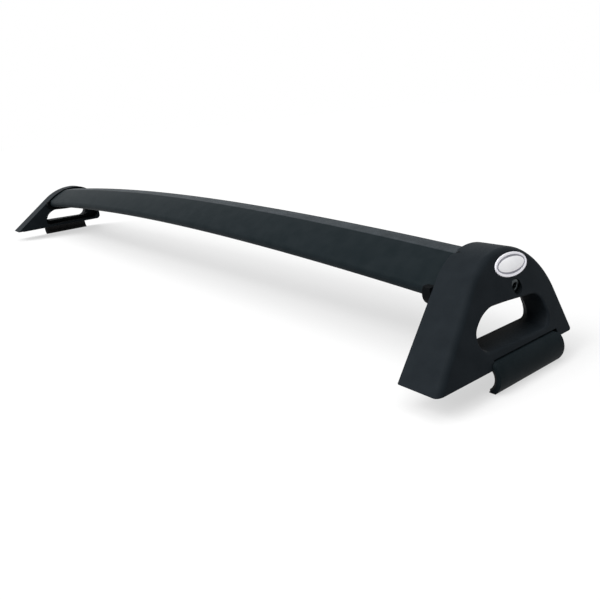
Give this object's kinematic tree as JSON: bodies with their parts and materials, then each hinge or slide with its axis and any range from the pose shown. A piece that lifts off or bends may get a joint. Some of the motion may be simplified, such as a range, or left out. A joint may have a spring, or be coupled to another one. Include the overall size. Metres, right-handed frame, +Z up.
{
  "type": "roof rack crossbar",
  "caption": "Arched wing-shaped roof rack bar with a leaning windowed foot at each end; each foot clamps a rail with a hooked jaw and is drawn in by a bolt.",
  "frame": {"origin": "middle of the rack on the plane that the jaws' lowest edges stand on", "axes": "+X along the bar towards the foot with the badge, -Y towards the front of the car, +Z up"},
  "size_m": [1.0102, 0.1528, 0.0956],
  "materials": {
    "powder_coat": "extruded aluminium, satin black powder coat with a fine grain",
    "foot_coat": "cast aluminium, satin black powder coat",
    "strip_rubber": "grey ribbed rubber",
    "sole_rubber": "matte black rubber",
    "sleeve_plastic": "matte black",
    "badge_plastic": "white gloss, bare",
    "black_steel": "black oxide",
    "zinc_steel": "zinc plated",
    "plug_aluminium": "mill finish",
    "brass_insert": "turned"
  },
  "bodies": {
    "bar": {"crossbar": "powder_coat", "slot_strip": "strip_rubber", "bar_plug_right": "plug_aluminium", "bar_plug_left": "plug_aluminium"},
    "foot_right": {"foot_casting_right": "foot_coat", "foot_pad_right": "sole_rubber", "bar_sleeve_right": "sleeve_plastic", "clamp_jaw_right": "powder_coat", "jaw_liner_right": "sole_rubber", "jaw_screw_front_right": "black_steel", "jaw_screw_rear_right": "black_steel", "thread_insert_front_right": "brass_insert", "thread_insert_rear_right": "brass_insert", "badge": "badge_plastic"},
    "foot_left": {"foot_casting_left": "foot_coat", "foot_pad_left": "sole_rubber", "bar_sleeve_left": "sleeve_plastic", "clamp_jaw_left": "powder_coat", "jaw_liner_left": "sole_rubber", "jaw_screw_front_left": "black_steel", "jaw_screw_rear_left": "black_steel", "thread_insert_front_left": "brass_insert", "thread_insert_rear_left": "brass_insert"},
    "bolt_right": {"tension_bolt_right": "black_steel", "bolt_washer_right": "zinc_steel"},
    "bolt_left": {"tension_bolt_left": "black_steel", "bolt_washer_left": "zinc_steel"}
  },
  "joints": [
    {"name": "foot_slide_right", "type": "slide", "parent": "bar", "child": "foot_right", "axis": [0.9979, 0, -0.0647], "range_m": [-0.005, 0.008]},
    {"name": "bolt_turn_right", "type": "hinge", "parent": "foot_right", "child": "bolt_right", "pos_m": [0.481, 0.0305, 0.05856], "axis": [0.9979, 0, -0.0647], "range_deg": [-1800, 2880]},
    {"name": "foot_slide_left", "type": "slide", "parent": "bar", "child": "foot_left", "axis": [-0.9979, 0, -0.0647], "range_m": [-0.005, 0.008]},
    {"name": "bolt_turn_left", "type": "hinge", "parent": "foot_left", "child": "bolt_left", "pos_m": [-0.481, 0.0305, 0.05856], "axis": [-0.9979, 0, -0.0647], "range_deg": [-1800, 2880]}
  ],
  "couplings": [
    {"joint": "bolt_turn_right", "follows": "foot_slide_right", "rad_per_m": 6283.2},
    {"joint": "bolt_turn_left", "follows": "foot_slide_left", "rad_per_m": 6283.2}
  ]
}
